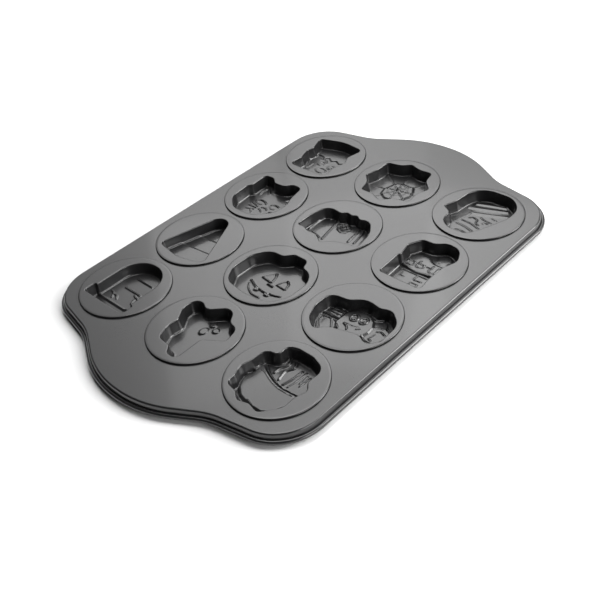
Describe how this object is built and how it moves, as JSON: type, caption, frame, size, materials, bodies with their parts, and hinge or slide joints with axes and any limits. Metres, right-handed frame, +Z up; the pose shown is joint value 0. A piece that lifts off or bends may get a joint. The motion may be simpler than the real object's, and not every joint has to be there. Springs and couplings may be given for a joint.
{
  "type": "moulded biscuit baking tray",
  "caption": "Dark non-stick steel baking tray with a rolled, wired rim, holding round pressed moulds for festive biscuits such as a pumpkin, bat, ghost, cat, web and cauldron.",
  "frame": {"origin": "centre of the tray in plan, at the height of the floor that the moulds stand on", "axes": "+Z up; +X along the tray, from the ghost mould's end to the web mould's end; +Y across it, from the cauldron mould's row to the tombstone mould's row"},
  "size_m": [0.393, 0.2684, 0.0112],
  "materials": {
    "coated_steel": "satin dark grey non-stick coating with a fine speckle",
    "rim_steel": "bare drawn wire, hidden inside the rolled rim"
  },
  "bodies": {
    "root": {"tray_plate": "coated_steel", "rim_wire": "rim_steel", "ghost_mould": "coated_steel", "tombstone_mould": "coated_steel", "cauldron_mould": "coated_steel", "candy_corn_mould": "coated_steel", "pumpkin_mould": "coated_steel", "spider_mould": "coated_steel", "cat_mould": "coated_steel", "bat_mould": "coated_steel", "house_mould": "coated_steel", "goblin_mould": "coated_steel", "web_mould": "coated_steel", "mummy_mould": "coated_steel"}
  },
  "joints": []
}
